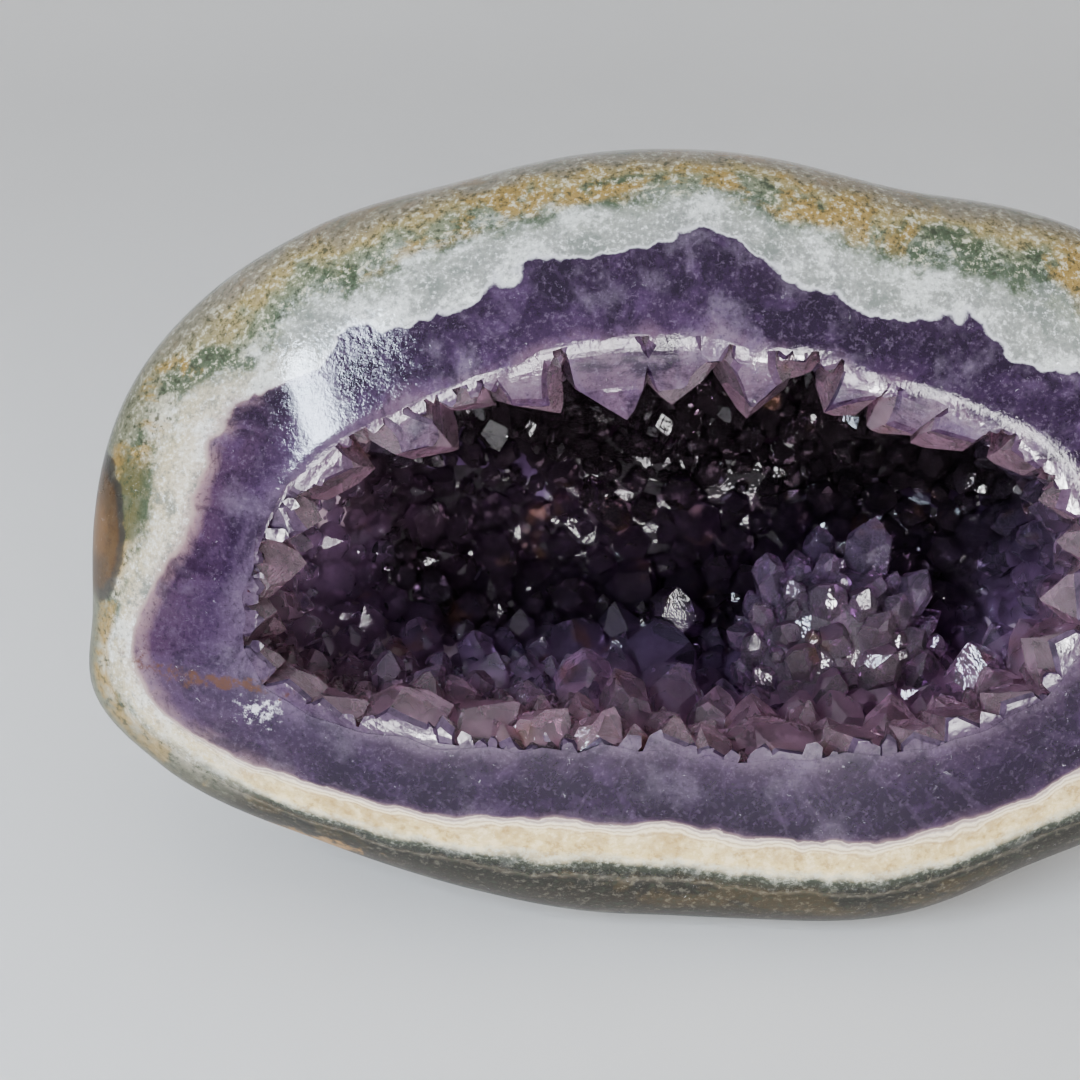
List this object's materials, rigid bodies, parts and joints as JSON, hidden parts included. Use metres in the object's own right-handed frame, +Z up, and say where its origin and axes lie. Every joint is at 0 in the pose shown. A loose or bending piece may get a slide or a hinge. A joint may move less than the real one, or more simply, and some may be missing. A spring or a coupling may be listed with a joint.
{
  "type": "geode half",
  "caption": "Half of an amethyst geode: a polished, rounded stone with a flat foot and a broad opening, its deep hollow lined with amethyst points; stands on its foot as an ornament",
  "frame": {"origin": "on the table under the middle of the stone's box", "axes": "+X to the right of the opening and along the longest extent, the opening looks towards -Y and leans back 20 degrees, +Z up"},
  "size_m": [0.2201, 0.1156, 0.1362],
  "materials": {
    "polished_stone": "polished all round: banded agate, green and ochre rind, grey-white quartz and massive amethyst",
    "amethyst": "glassy flat natural crystal faces, clear to smoky violet"
  },
  "bodies": {
    "root": {"stone_shell": "polished_stone", "crystal_crust": "amethyst"}
  },
  "joints": []
}
